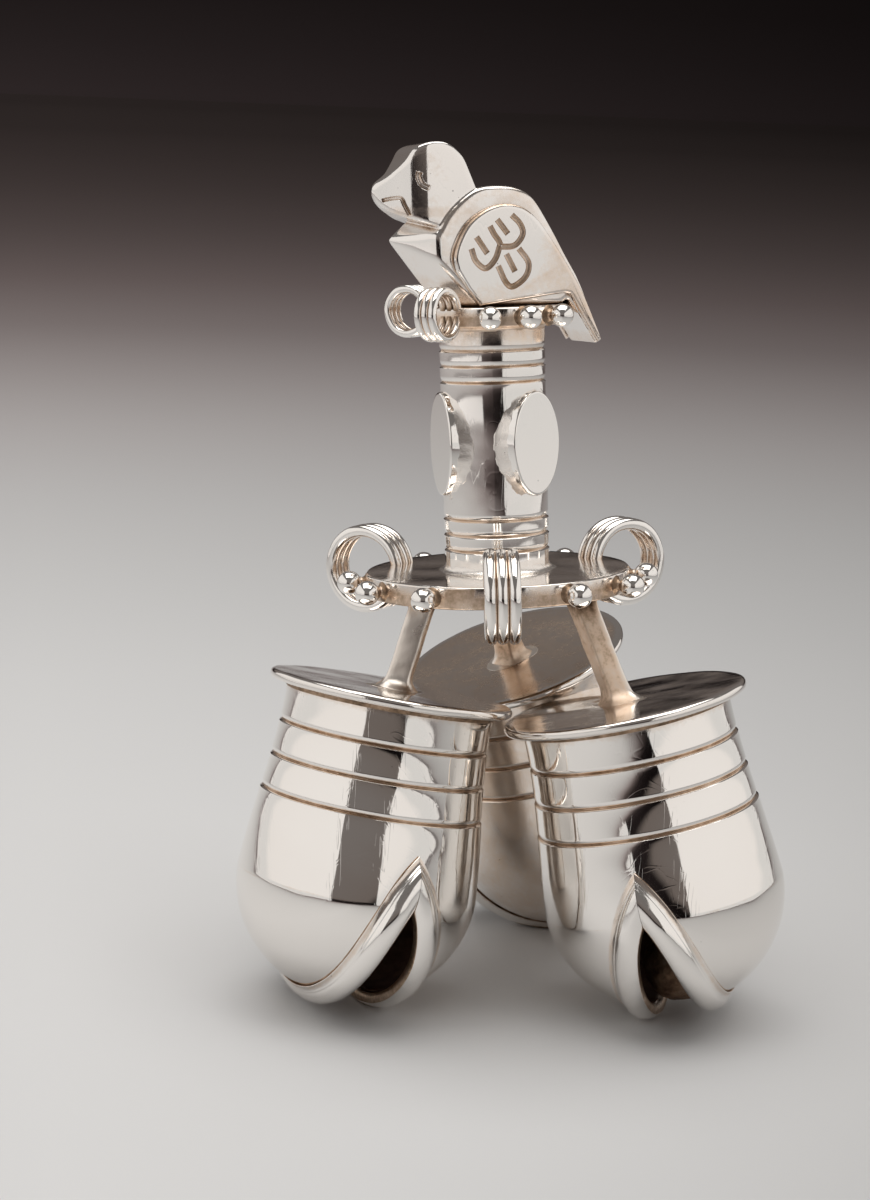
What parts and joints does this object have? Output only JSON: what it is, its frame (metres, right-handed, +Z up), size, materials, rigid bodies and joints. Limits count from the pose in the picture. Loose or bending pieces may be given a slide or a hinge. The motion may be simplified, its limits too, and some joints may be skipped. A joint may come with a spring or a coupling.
{
  "type": "rattle bell",
  "caption": "Hand-held silver rattle: a bird on a grooved grip, over a tripod of slit bells with a loose pellet in each.",
  "frame": {"origin": "middle of the object's box, on the surface that the bells stand on", "axes": "+Z up along the grip; the bird looks towards -X and a little towards -Y; +Y goes away from the side shown"},
  "size_m": [0.0716, 0.0664, 0.1117],
  "materials": {
    "silver": "polished by hand, tarnished brown in the recesses",
    "copper": "rough brown copper"
  },
  "bodies": {
    "rattle": {"bird": "silver", "left_wing": "silver", "right_wing": "silver", "upper_plate": "silver", "upper_loop_1": "silver", "upper_loop_2": "silver", "upper_bead_1": "silver", "upper_bead_2": "silver", "upper_bead_3": "silver", "upper_bead_4": "silver", "upper_bead_5": "silver", "upper_bead_6": "silver", "grip": "silver", "grip_boss_1": "silver", "grip_boss_2": "silver", "grip_boss_3": "silver", "lower_plate": "silver", "lower_loop_1": "silver", "lower_loop_2": "silver", "lower_loop_3": "silver", "lower_bead_1": "silver", "lower_bead_2": "silver", "lower_bead_3": "silver", "lower_bead_4": "silver", "lower_bead_5": "silver", "lower_bead_6": "silver", "lower_bead_7": "silver", "lower_bead_8": "silver", "lower_bead_9": "silver", "leg_left": "silver", "leg_right": "silver", "leg_rear": "silver", "lid_left": "silver", "lid_right": "silver", "lid_rear": "silver", "shell_left": "silver", "shell_right": "silver", "shell_rear": "silver", "lip_left_inner": "silver", "lip_left_outer": "silver", "lip_right_inner": "silver", "lip_right_outer": "silver", "lip_rear_inner": "silver", "lip_rear_outer": "silver"},
    "left_pellet": {"pellet_left": "copper"},
    "right_pellet": {"pellet_right": "copper"},
    "rear_pellet": {"pellet_rear": "copper"}
  },
  "joints": [
    {"name": "left_roll", "type": "hinge", "parent": "rattle", "child": "left_pellet", "pos_m": [-0.02009, -0.01673, 0.0163], "axis": [-0.8607, -0.4685, 0.1995], "range_deg": [-55.6, 64.3]},
    {"name": "right_roll", "type": "hinge", "parent": "rattle", "child": "right_pellet", "pos_m": [0.02005, -0.01528, 0.0164], "axis": [0.9449, -0.1965, 0.2619], "range_deg": [-61.9, 58]},
    {"name": "rear_roll", "type": "hinge", "parent": "rattle", "child": "rear_pellet", "pos_m": [0.00674, 0.01756, 0.01636], "axis": [-0.0089, 0.9852, 0.171], "range_deg": [-77.4, 42.5]}
  ]
}
